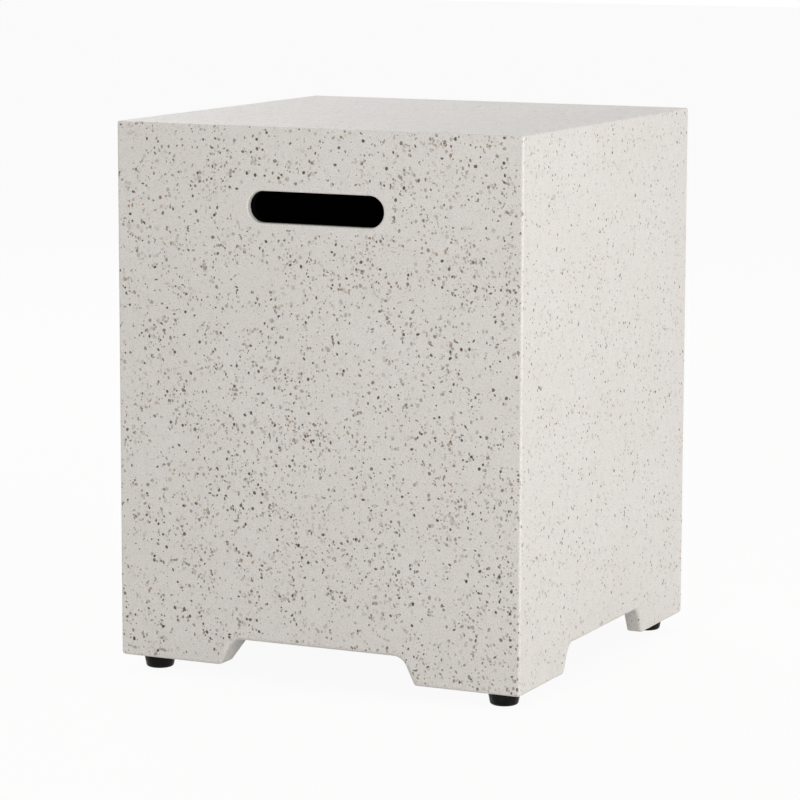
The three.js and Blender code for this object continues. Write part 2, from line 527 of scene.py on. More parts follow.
@dataclass(frozen=True)
class TerrazzoCement:
    """Pale honed cement between the chips, with painted shade, a matt near-black, on the inside and in the
    slots' throats.
    """

    pale: Colour = colour("#dfdbd7")
    warm: Colour = colour("#d9d4cd")
    cool: Colour = colour("#d6d4d1")
    grain: Colour = colour("#a39b94")
    pit: Colour = colour("#857d76")
    painted_shade_black: Colour = colour("#040404")
    drifts_per_metre: float = 11
    clouds_per_metre: float = 120
    sand_per_metre: float = 850
    grains_per_metre: float = 560
    pits_per_metre: float = 210
    cool_clouds: Range = (0.42, 0.75)
    dark_sand: Range = (0.42, 0.72)
    grain_edge: Range = (0.16, 0.34)
    pit_edge: Range = (0.05, 0.09)
    warm_share: float = 0.35
    cool_share: float = 0.75
    speck_share: float = 0.36
    sand_share: float = 0.42
    pit_share: float = 0.6
    grain_chosen: float = 0.5
    pit_chosen: float = 0.72
    roughness: Range = (0.42, 0.52)
    pit_roughness: float = 0.2
    sand_height: float = 0.04 * MM
    cloud_height: float = 0.05 * MM
    pit_depth: float = 0.25 * MM
    drift_height: float = 0.2 * MM
    painted_shade_roughness: float = 0.95
    painted_shade_height: float = 0.15 * MM
    painted_shade_specular: float = 0.05
    painted_shade_stray: float = 1.6 * MM
    space: PaintedShadeSpace = field(default_factory=PaintedShadeSpace)

    def material(self) -> bpy.types.Material:
        """Build the finish.

        Returns:
            The material.
        """
        paint = Paint("terrazzo_cement")
        drift = paint.noise(paint.place, self.drifts_per_metre, detail=3.0)
        cloud = paint.noise(paint.place, self.clouds_per_metre, detail=4.0, warp=0.4)
        sand = paint.noise(paint.place, self.sand_per_metre, detail=3.0)
        base = paint.mixed(paint.span(drift, MOST_NOISE, (0.0, self.warm_share)), self.pale, self.warm)
        base = paint.mixed(paint.span(cloud, self.cool_clouds, (0.0, self.cool_share)), base, self.cool)
        grains, grain_colour = paint.cells(self.grains_per_metre)
        chosen = paint.axes(grain_colour)[0] > self.grain_chosen
        speck = paint.span(grains, self.grain_edge, (1.0, 0.0)) * chosen
        base = paint.mixed(speck * self.speck_share, base, self.grain)
        base = paint.mixed(paint.span(sand, self.dark_sand, (0.0, self.sand_share)), base, self.grain)
        pits, pit_colour = paint.cells(self.pits_per_metre)
        chosen = paint.axes(pit_colour)[1] > self.pit_chosen
        pit = paint.span(pits, self.pit_edge, (1.0, 0.0)) * chosen
        base = paint.mixed(pit * self.pit_share, base, self.pit)
        roughness = paint.span(cloud, MOST_NOISE, self.roughness) + pit * self.pit_roughness
        height = sand * self.sand_height + cloud * self.cloud_height
        height = height - pit * self.pit_depth + drift * self.drift_height
        cement = paint.surface(base, roughness, height)
        # Painted shade: the inside and the slots' throats are painted near-black to stand for the dark
        # hollow behind them.
        relief, shine = cloud * self.painted_shade_height, self.painted_shade_specular
        painted_shade_surface = paint.surface(self.painted_shade_black, self.painted_shade_roughness, relief, Specular_IOR_Level=shine)
        inside = self.space.mask(paint, paint.place, (cloud - 0.5) * self.painted_shade_stray)
        return paint.finish(paint.coated(inside, cement, painted_shade_surface))


@dataclass(frozen=True)
class StoneChip:
    """Ground stone of one colour, a little unlike from chip to chip."""

    name: str
    light: str
    dark: str
    veins_per_metre: float = 700
    tone_weight: float = 0.75
    vein_weight: float = 0.5
    towards_dark: float = 0.12
    roughness: Range = (0.34, 0.46)
    vein_height: float = 0.03 * MM

    def material(self) -> bpy.types.Material:
        """Build the finish.

        Returns:
            The material.
        """
        paint = Paint(self.name)
        tone = paint.made("ShaderNodeAttribute", {"attribute_name": TONE}, None, "Fac")
        vein = paint.noise(paint.place, self.veins_per_metre, detail=4.0, warp=0.8)
        share = (tone * self.tone_weight + vein * self.vein_weight - self.towards_dark).most(0.0).least(1.0)
        base = paint.mixed(share, colour(self.dark), colour(self.light))
        rough = paint.span(vein, MOST_NOISE, self.roughness)
        return paint.finish(paint.surface(base, rough, vein * self.vein_height))


@dataclass(frozen=True)
class TurnedBrass:
    """Brass straight from the lathe, a little dull from the cement."""

    bright: Colour = colour("#c9a866")
    dull: Colour = colour("#9c7c42")
    clouds_per_metre: float = 260
    dull_clouds: Range = (0.35, 0.7)
    roughness: Range = (0.28, 0.46)
    marks_per_metre: float = 24000
    mark_depth: float = 0.004 * MM

    def material(self) -> bpy.types.Material:
        """Build the finish.

        Returns:
            The material.
        """
        paint = Paint("turned_brass")
        marks = (paint.axes(paint.place)[2] * self.marks_per_metre).sine()
        cloud = paint.noise(paint.place, self.clouds_per_metre, detail=3.0)
        base = paint.mixed(paint.span(cloud, self.dull_clouds), self.bright, self.dull)
        rough = paint.span(cloud, MOST_NOISE, self.roughness)
        return paint.finish(paint.surface(base, rough, marks * self.mark_depth, Metallic=1.0))


@dataclass(frozen=True)
class ZincPlate:
    """Bright zinc on steel, faintly clouded by its passivation."""

    silver: Colour = colour("#c3c6c9")
    yellow: Colour = colour("#b9b6a4")
    clouds_per_metre: float = 320
    yellow_clouds: Range = (0.45, 0.75)
    roughness: Range = (0.24, 0.38)
    crystals_per_metre: float = 4000
    crystal_height: float = 0.006 * MM

    def material(self) -> bpy.types.Material:
        """Build the finish.

        Returns:
            The material.
        """
        paint = Paint("zinc_plate")
        cloud = paint.noise(paint.place, self.clouds_per_metre, detail=4.0, warp=0.5)
        fine = paint.noise(paint.place, self.crystals_per_metre, detail=2.0)
        base = paint.mixed(paint.span(cloud, self.yellow_clouds), self.silver, self.yellow)
        rough = paint.span(cloud, MOST_NOISE, self.roughness)
        return paint.finish(paint.surface(base, rough, fine * self.crystal_height, Metallic=1.0))


@dataclass(frozen=True)
class MouldedBlack:
    """Satin black plastic with a spark-eroded grain."""

    deep: Colour = colour("#050505")
    lighter_tone: Colour = colour("#0f0e0d")
    clouds_per_metre: float = 220
    dusty_clouds: Range = (0.35, 0.75)
    roughness: Range = (0.24, 0.42)
    grains_per_metre: float = 3200
    lighter_band_height: float = 4.5 * MM
    cloud_dust: float = 0.5
    lighter_near_floor: float = 0.4
    grain_height: float = 0.03 * MM
    cloud_height: float = 0.8 * MM
    specular: float = 0.12

    def material(self) -> bpy.types.Material:
        """Build the finish.

        Returns:
            The material.
        """
        paint = Paint("moulded_black")
        cloud = paint.noise(paint.place, self.clouds_per_metre, detail=3.0)
        grain, _ = paint.cells(self.grains_per_metre)
        # The pad turns lighter towards the floor over its bottom 4.5 mm, on top of the random dusty clouds.
        low = paint.span(paint.axes(paint.place)[2], (0.0, self.lighter_band_height), (1.0, 0.0))
        lighter_share = paint.span(cloud, self.dusty_clouds) * self.cloud_dust + low * self.lighter_near_floor
        base = paint.mixed(lighter_share.least(1.0), self.deep, self.lighter_tone)
        rough = paint.span(cloud, MOST_NOISE, self.roughness)
        height = grain * self.grain_height + cloud * self.cloud_height
        return paint.finish(paint.surface(base, rough, height, Specular_IOR_Level=self.specular))


@dataclass
class CoverShell:
    """The one-piece cast cover: walls, top, legs, corner blocks, hand slots and notches."""

    half: float = 200 * MM
    bottom: float = 13.5 * MM
    top: float = 506.5 * MM
    wall: float = 16 * MM
    top_thickness: float = 20 * MM
    inside_corner: float = 12 * MM
    inside_top_round: float = 8 * MM
    slot_length: float = 134 * MM
    slot_height: float = 28.5 * MM
    slot_middle: float = 434.5 * MM
    notch_top: float = 170 * MM
    notch_bottom: float = 194 * MM
    notch_height: float = 25 * MM
    notch_round: float = 14 * MM
    block_start: float = 85 * MM
    block_inside: float = 158 * MM
    block_top: float = 67 * MM
    block_chamfer: float = 8 * MM
    slope_depth_left: float = 22 * MM
    slope_run: float = 50 * MM
    foot_inset: float = 26 * MM
    pocket_radius: float = 6.3 * MM
    pocket_top: float = 47 * MM
    chip_room: float = 0.06 * MM
    overrun: float = 10 * MM
    upright_round: float = 2 * MM
    rim_round: float = 2 * MM
    bottom_round: float = 3 * MM
    slot_face_round: float = 1.5 * MM
    slot_inside_round: float = 2 * MM
    notch_edge_round: float = 4 * MM
    inside_edge_round: float = 1.5 * MM
    toe_round: float = 2.5 * MM
    hole_edge_round: float = 0.4 * MM
    widest_round: float = 10 * MM
    sharpest_kept: float = math.radians(24)
    near: float = 0.01 * MM
    same_point: float = 0.001 * MM
    still_flat: float = math.radians(0.5)
    rounding_steps: int = 5
    corner_steps: int = 8
    inside_top_steps: int = 6
    slot_steps: int = 18
    notch_steps: int = 9
    hole_steps: int = 36
    finish: TerrazzoCement = field(default_factory=TerrazzoCement)

    def build(self) -> bpy.types.Object:
        """Cast the shell.

        Returns:
            The shell, with a plain mesh.
        """
        shell = self._cut_shell()
        self._clean(shell)
        self._round_edges(shell)
        return shell

    def dress(self, shell: bpy.types.Object) -> None:
        """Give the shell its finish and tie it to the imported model.

        Args:
            shell: The shell.
        """
        shell.data.materials.clear()
        shell.data.materials.append(self.finish.material())
        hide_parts("cover_shell")
        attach(shell, "cover")

    def _square(self, half: float, radius: float) -> list[Point2]:
        """A square about the middle with rounded corners, or sharp ones for a radius of zero."""
        sides = ((-1, -1), (1, -1), (1, 1), (-1, 1))
        return rounded([(half * x, half * y, radius) for x, y in sides], self.corner_steps)

    def _cut_shell(self) -> bpy.types.Object:
        """Cut the hollow, slots, notches and foot holes out of a block.

        Returns:
            The shell with sharp outer edges.
        """
        outer = self._square(self.half - self.chip_room, 0)
        shell = prism("cover", outer, self.bottom + self.chip_room, self.top - self.chip_room, Along.Z)
        cut(shell, self._hollow())
        reach = self.half + self.overrun
        radius = self.slot_height / 2
        straight = self.slot_length / 2 - radius
        stadium = arc((straight, self.slot_middle), radius, -90, 90, self.slot_steps)
        stadium += arc((-straight, self.slot_middle), radius, 90, 270, self.slot_steps)
        cut(shell, prism("slots", stadium, -reach, reach, Along.Y))
        for along in (Along.X, Along.Y):
            cut(shell, prism("notches", self._notch(), -reach, reach, along))
        seat = arc((0, 0), self.pocket_radius, 0, 360, self.hole_steps)[:-1]
        for corner in Corner:
            x, y = (side * (self.half - self.foot_inset) for side in corner.value)
            around = [(u + x, v + y) for u, v in seat]
            cut(shell, prism("foot_hole", around, self.bottom - self.overrun, self.pocket_top, Along.Z))
            cut(shell, self._slope(corner))
        return shell

    def _slope(self, corner: Corner) -> bpy.types.Object:
        """The cut that thins one corner's block towards its notch, from the inside and from below.

        Args:
            corner: The corner that the block is in.

        Returns:
            The cut as a solid.
        """
        start = self.notch_top / 2 - self.overrun
        inside = self.block_inside - self.overrun
        low = self.bottom - self.overrun
        per_length = (self.half - self.block_inside - self.slope_depth_left) / self.slope_run
        edge = self.half - self.slope_depth_left + self.overrun
        reach = edge - (start - self.notch_bottom / 2) * per_length - inside
        ends = (
            (start, inside, low),
            (start, inside + reach, low),
            (start, inside, low + reach),
            (start + reach / per_length, inside, low),
        )
        shape = bmesh.new()
        for x, y, z in ends:
            shape.verts.new((corner.value[0] * x, corner.value[1] * y, z))
        bmesh.ops.convex_hull(shape, input=shape.verts)
        bmesh.ops.recalc_face_normals(shape, faces=shape.faces)
        return solid("slope", shape)

    def _hollow(self) -> bpy.types.Object:
        """The space inside: a rounded block without the four corner blocks.

        Returns:
            The space as a solid.
        """
        low = self.bottom - self.overrun
        ceiling = self.top - self.top_thickness
        outline = self._square(self.half - self.wall, self.inside_corner)
        hollow = prism("hollow", outline, low, ceiling, Along.Z)
        shape = bmesh.new()
        shape.from_mesh(hollow.data)
        rim = [e for e in shape.edges if all(v.co.z > ceiling - MM for v in e.verts)]
        bmesh.ops.bevel(
            shape,
            geom=rim,
            offset=self.inside_top_round,
            segments=self.inside_top_steps,
            profile=0.5,
            affect="EDGES",
        )
        shape.to_mesh(hollow.data)
        shape.free()
        rise = self.half - self.block_inside
        chamfer_top = self.bottom + self.block_chamfer
        section = [
            (self.half, low),
            (self.half, self.block_top + rise),
            (self.block_inside, self.block_top),
            (self.block_inside, chamfer_top),
            (self.block_inside + chamfer_top - low, low),
        ]
        for corner in Corner:
            side_x, side_y = corner.value
            ends = sorted((side_x * self.block_start, side_x * self.half))
            cut(hollow, prism("block", [(side_y * v, z) for v, z in section], ends[0], ends[1], Along.X))
        return hollow

    def _notch(self) -> list[Point2]:
        """The notch's outline, which runs on below the cover.

        Returns:
            The outline's points, across and up.
        """
        top = self.notch_top / 2
        ceiling = self.bottom + self.notch_height
        low = self.bottom - self.overrun
        lowest = top + (self.notch_bottom / 2 - top) / self.notch_height * (ceiling - low)
        sharp = [(-lowest, low, 0.0), (lowest, low, 0.0)]
        round_ends = [(top, ceiling, self.notch_round), (-top, ceiling, self.notch_round)]
        return rounded(sharp + round_ends, self.notch_steps)

    def _clean(self, shell: bpy.types.Object) -> None:
        """Join what the cuts have split on flat faces.

        Args:
            shell: The cut shell.
        """
        shape = bmesh.new()
        shape.from_mesh(shell.data)
        bmesh.ops.remove_doubles(shape, verts=shape.verts, dist=self.same_point)
        bmesh.ops.dissolve_limit(shape, angle_limit=self.still_flat, verts=shape.verts, edges=shape.edges)
        bmesh.ops.recalc_face_normals(shape, faces=shape.faces)
        shape.to_mesh(shell.data)
        shape.free()

    def _round_edges(self, shell: bpy.types.Object) -> None:
        """Round every sharp edge by its own radius.

        Args:
            shell: The cleaned shell.
        """
        shape = bmesh.new()
        shape.from_mesh(shell.data)
        weights = shape.edges.layers.float.new("bevel_weight_edge")
        for edge in shape.edges:
            if len(edge.link_faces) == 2 and edge.calc_face_angle() > self.sharpest_kept:
                edge[weights] = self._radius_of(edge) / self.widest_round
        shape.to_mesh(shell.data)
        shape.free()
        shell.data.shade_smooth()
        bevel = shell.modifiers.new("rounding", "BEVEL")
        bevel.limit_method = "WEIGHT"
        bevel.width = self.widest_round
        bevel.segments = self.rounding_steps
        bevel.use_clamp_overlap = False
        bevel.harden_normals = True
        bevel.miter_outer = "MITER_SHARP"
        settle(shell)

    def _radius_of(self, edge: bmesh.types.BMEdge) -> float:
        """Choose an edge's rounding from where it lies.

        Args:
            edge: A sharp edge of the cut shell.

        Returns:
            The radius, or zero for an edge that stays sharp.
        """
        ends = [vert.co for vert in edge.verts]
        outer = self.half - self.chip_room

        def all_at(axis: int, plane: float) -> bool:
            """Whether both ends lie at a plane or its mirror image."""
            return all(abs(abs(end[axis]) - plane) < self.near for end in ends)

        high = all(end.z > self.top / 2 for end in ends)
        in_notch = all(end.z < self.bottom + self.notch_height + self.near for end in ends)
        if all_at(2, self.top - self.chip_room):
            return self.rim_round
        if all_at(0, outer) and all_at(1, outer):
            return self.upright_round
        on_outside = all_at(0, outer) or all_at(1, outer)
        if all_at(2, self.bottom + self.chip_room):
            foot = self.half - self.foot_inset
            from_foot = max(math.hypot(abs(end.x) - foot, abs(end.y) - foot) for end in ends)
            if from_foot < self.pocket_radius + MM:
                return self.hole_edge_round
            return self.bottom_round if on_outside else self.toe_round
        if on_outside:
            return self.slot_face_round if high else self.notch_edge_round
        if all_at(0, self.block_start) and in_notch:
            return 0.0
        inner = self.half - self.wall
        if all_at(1, inner) and high and all(abs(end.x) < self.slot_length for end in ends):
            return self.slot_inside_round
        if (all_at(0, inner) or all_at(1, inner)) and not high and edge.is_convex:
            return self.inside_edge_round
        if edge.is_convex and all(end.z < self.block_top + self.near for end in ends):
            return self.inside_edge_round
        return 0.0


@dataclass
class ChipBatch:
    """All chips of one stone: how many to the square metre, how long in millimetres, and where they show."""

    stone: StoneChip
    per_area: float
    shortest: float
    longest: float
    light_washed_side_share: float
    top_share: float
    seed: int


@dataclass
class StoneChips:
    """The crushed stone that shows at the shell's bare faces."""

    lift: float = 0.03 * MM
    lift_by_tone: float = 0.7
    ragged: float = 0.8 * MM
    rags_per_metre: float = 760.0
    patch: float = 34.0
    patch_edge: Range = (0.36, 0.6)
    between_patches: float = 0.35
    corners: int = 9
    light_washed_side_scale: float = 0.85
    edge_share: float = 0.4
    facing: float = 0.7
    flat: float = 0.97
    upright_bias: float = 0.75
    short_bias: float = 1.7
    width_by_length: Range = (0.42, 0.9)
    space: PaintedShadeSpace = field(default_factory=PaintedShadeSpace)
    batches: tuple[ChipBatch, ...] = (
        ChipBatch(StoneChip("stone_charcoal", "#67615c", "#3a3530"), 4900, 1.2, 3.6, 0.45, 0.03, 11),
        ChipBatch(StoneChip("stone_brown", "#7a6a5f", "#4d3d35"), 5100, 1.2, 3.8, 0.43, 0.04, 23),
        ChipBatch(StoneChip("stone_umber_grey", "#a0978f", "#756c65"), 8800, 1.2, 3.9, 0.46, 0.1, 37),
        ChipBatch(StoneChip("stone_grey", "#b8b3ae", "#948f8a"), 13400, 1.2, 3.9, 0.45, 0.15, 41),
        ChipBatch(StoneChip("stone_olive", "#b2a896", "#908570"), 4000, 1.3, 4.1, 0.44, 0.1, 53),
        ChipBatch(StoneChip("stone_rust", "#b6a091", "#8a6e5d"), 3600, 1.2, 3.8, 0.44, 0.04, 67),
        ChipBatch(StoneChip("stone_pale", "#cec8c1", "#b7b0a8"), 20000, 1.4, 4.6, 0.58, 0.4, 71),
    )

    def build(self, shell: bpy.types.Object) -> list[bpy.types.Object]:
        """Strew the chips over the shell and dress them.

        Args:
            shell: The finished shell, which the chips lie in.

        Returns:
            One piece for each stone.
        """
        pattern = self._pattern()
        pieces = []
        for batch in self.batches:
            values = {
                "Chips per square metre": batch.per_area,
                "Shortest": batch.shortest * MM,
                "Longest": batch.longest * MM,
                "Ragged by": self.ragged,
                "Lift": self.lift,
                "Patches per metre": self.patch,
                "Share on the light-washed sides": batch.light_washed_side_share,
                "Share on top": batch.top_share,
                "Scale on the light-washed sides": self.light_washed_side_scale,
                "Share on rounded edges": self.edge_share,
                "Seed": batch.seed,
                "Finish": batch.stone.material(),
            }
            chips = pattern.grow(f"{batch.stone.name}_chips", shell.data.copy(), values)
            chips.data.shade_flat()
            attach(chips, "cover")
            pieces.append(chips)
        return pieces

    def _pattern(self) -> Pattern:
        """Make the tree that strews flat ragged chips and lays them on the surface.

        Returns:
            The tree.
        """
        p = Pattern("strewn_chips")
        per_area, shortest, longest = p.inlets("Chips per square metre", "Shortest", "Longest")
        ragged, lift, patches = p.inlets("Ragged by", "Lift", "Patches per metre")
        light_washed_side_share, top_share = p.inlets("Share on the light-washed sides", "Share on top")
        light_washed_side_scale, edge_share = p.inlets("Scale on the light-washed sides", "Share on rounded edges")
        seed = p.inlet("Seed", "NodeSocketInt")

        inputs = {"Mesh": p.geometry, "Density": per_area, "Seed": seed}
        spread = p.node("GeometryNodeDistributePointsOnFaces", {"distribute_method": "RANDOM"}, inputs)
        normal = p.wire(spread, "Normal")
        place = p.made("GeometryNodeInputPosition")
        facing_x, facing_y, facing_z = (abs(part) for part in p.axes(normal))
        sideways = facing_x > self.facing
        cloud = p.noise(place, patches, detail=1.0)
        keep = p.span(cloud, self.patch_edge, (self.between_patches, 1.0))
        # Painted highlight: fewer chips on the ±X sides leave them paler, standing for light washing the
        # chips out on the lit right side.
        keep = keep * (1 - (facing_z > self.facing) * (1 - top_share)) * (1 - sideways * (1 - light_washed_side_share))
        on_edge = facing_x.most(facing_y).most(facing_z) < self.flat
        keep = keep * (1 - on_edge * (1 - edge_share))
        beside_slot = self.space.around_slot(p, place) * (facing_z < self.flat) * (1 - sideways)
        # Chips are dropped where the inside's shade is painted, beside the slot lips, and at random.
        gone = (p.chance(seed, 1) > keep).most(self.space.mask(p, place, 0.0)).most(beside_slot)
        inputs = {"Geometry": p.wire(spread, "Points"), "Selection": gone}
        points = p.made("GeometryNodeDeleteGeometry", {"domain": "POINT"}, inputs)

        inputs = {"Vertices": self.corners, "Radius": 0.5}
        blank = p.made("GeometryNodeMeshCircle", {"fill_type": "TRIANGLE_FAN"}, inputs)
        rotation = self._leaning(p, normal, p.chance(seed, 2, (-1.0, 1.0)))
        length = shortest + (longest - shortest) * p.chance(seed, 3) ** self.short_bias
        # Smaller chips on the ±X sides, for the same painted highlight.
        length = length * (1 - sideways * (1 - light_washed_side_scale))
        width = length * p.chance(seed, 4, self.width_by_length)
        scale = p.made("ShaderNodeCombineXYZ", None, {"X": width, "Y": length, "Z": 1.0})
        inputs = {"Points": points, "Instance": blank, "Rotation": rotation, "Scale": scale}
        strewn = p.made("GeometryNodeInstanceOnPoints", None, inputs)
        settings = {"data_type": "FLOAT", "domain": "INSTANCE"}
        inputs = {"Geometry": strewn, "Name": TONE, "Value": p.chance(seed, 5)}
        toned = p.made("GeometryNodeStoreNamedAttribute", settings, inputs)
        real = p.made("GeometryNodeRealizeInstances", None, {"Geometry": toned})
        p.close(self._laid(p, self._frayed(p, real, place, ragged), lift))
        return p

    def _leaning(self, p: Pattern, normal: Wire, lean: Wire) -> Wire:
        """Stand each chip on its face, mostly upright on a wall.

        Args:
            p: The tree.
            normal: The face's normal.
            lean: A random number from -1 to 1.

        Returns:
            The chip's rotation.
        """
        standing = p.made("FunctionNodeAlignRotationToVector", {"axis": "Z"}, {"Vector": normal})
        inputs = {"Rotation": standing, "Vector": (0.0, 0.0, 1.0)}
        upright = p.made("FunctionNodeAlignRotationToVector", {"axis": "Y", "pivot_axis": "Z"}, inputs)
        angle = lean * abs(lean) ** self.upright_bias * (math.pi / 2)
        spin = p.made("ShaderNodeCombineXYZ", None, {"Z": angle})
        inputs = {"Rotation": upright, "Rotate By": p.made("FunctionNodeEulerToRotation", None, {0: spin})}
        return p.made("FunctionNodeRotateRotation", {"rotation_space": "LOCAL"}, inputs)

    def _frayed(self, p: Pattern, chips: Wire, place: Wire, ragged: Wire) -> Wire:
        """Make the chips' outlines ragged.

        Args:
            p: The tree.
            chips: The chips as real faces.
            place: The place of each point.
            ragged: How far points stray.

        Returns:
            The ragged chips.
        """
        jitter = p.noise(place, self.rags_per_metre, detail=1.0, output="Color")
        centred = p.made("ShaderNodeVectorMath", {"operation": "SUBTRACT"}, {0: jitter, 1: (0.5, 0.5, 0.5)})
        offset = p.made("ShaderNodeVectorMath", {"operation": "SCALE"}, {0: centred, "Scale": ragged})
        return p.made("GeometryNodeSetPosition", None, {"Geometry": chips, "Offset": offset})

    def _laid(self, p: Pattern, chips: Wire, lift: Wire) -> Wire:
        """Press the chips onto the shell, each a little above it by its tone.

        Args:
            p: The tree.
            chips: The chips.
            lift: The least height above the shell.

        Returns:
            The chips where they belong.
        """
        nearest = p.made("GeometryNodeProximity", {"target_element": "FACES"}, {0: p.geometry}, "Position")
        inputs = {"Mesh": p.geometry, "Value": p.made("GeometryNodeInputNormal")}
        facing = p.made("GeometryNodeSampleNearestSurface", {"data_type": "FLOAT_VECTOR"}, inputs)
        tone = p.made("GeometryNodeInputNamedAttribute", {"data_type": "FLOAT"}, {"Name": TONE})
        rise = lift * (1 + tone * self.lift_by_tone)
        out = p.made("ShaderNodeVectorMath", {"operation": "SCALE"}, {0: facing, "Scale": rise})
        laid = p.made("ShaderNodeVectorMath", {"operation": "ADD"}, {0: nearest, 1: out})
        return p.made("GeometryNodeSetPosition", None, {"Geometry": chips, "Position": laid})


class FootFinishes:
    """The materials and the Geometry Nodes trees that the four feet share."""

    steps_in_a_turn: int = 28
    thread_half_width: float = 0.45

    def __init__(self) -> None:
        """Make them all."""
        self.brass = TurnedBrass().material()
        self.zinc = ZincPlate().material()
        self.black = MouldedBlack().material()
        self.knurl = self._knurl_tree()
        self.thread = self._thread_tree()

    def _knurl_tree(self) -> Pattern:
        """Make the tree that sets upright ridges round a cylinder.

        Returns:
            The tree.
        """
        p = Pattern("knurled_band")
        ridges = p.inlet("Ridges", "NodeSocketInt")
        radius, height, depth = p.inlets("Radius", "Height", "Depth")
        middle = p.inlet("Middle", "NodeSocketVector")
        inputs = {"Vertices": ridges, "Radius": radius}
        circle = p.made("GeometryNodeMeshCircle", {"fill_type": "NONE"}, inputs)
        inputs = {"Vertices": 4, "Radius": depth, "Depth": height}
        ridge = p.made("GeometryNodeMeshCylinder", {"fill_type": "NGON"}, inputs)
        inputs = {"Vector": p.made("GeometryNodeInputPosition")}
        facing = p.made("FunctionNodeAlignRotationToVector", {"axis": "X", "pivot_axis": "Z"}, inputs)
        inputs = {"Points": circle, "Instance": ridge, "Rotation": facing}
        band = p.made("GeometryNodeInstanceOnPoints", None, inputs)
        p.close(p.made("GeometryNodeTransform", None, {"Geometry": band, "Translation": middle}))
        return p

    def _thread_tree(self) -> Pattern:
        """Make the tree that winds a thread round a core.

        Returns:
            The tree.
        """
        p = Pattern("rolled_thread")
        core, crest, pitch, length = p.inlets("Core radius", "Crest radius", "Pitch", "Length")
        start = p.inlet("Start", "NodeSocketVector")
        inputs = {"Resolution": self.steps_in_a_turn, "Rotations": length / pitch, "Height": length}
        inputs |= {"Start Radius": core, "End Radius": core}
        helix = p.made("GeometryNodeCurveSpiral", None, inputs)
        upright = p.made("GeometryNodeSetCurveNormal", {"mode": "Z_UP"}, {"Curve": helix})
        inputs = {"Resolution": 4, "Radius": 1.0}
        section = p.made("GeometryNodeCurvePrimitiveCircle", {"mode": "RADIUS"}, inputs)
        inputs = {"X": crest - core, "Y": pitch * self.thread_half_width, "Z": 1.0}
        shape = p.made("ShaderNodeCombineXYZ", None, inputs)
        wedge = p.made("GeometryNodeTransform", None, {"Geometry": section, "Scale": shape})
        inputs = {"Curve": upright, "Profile Curve": wedge, "Fill Caps": True}
        swept = p.made("GeometryNodeCurveToMesh", None, inputs)
        p.close(p.made("GeometryNodeTransform", None, {"Geometry": swept, "Translation": start}))
        return p


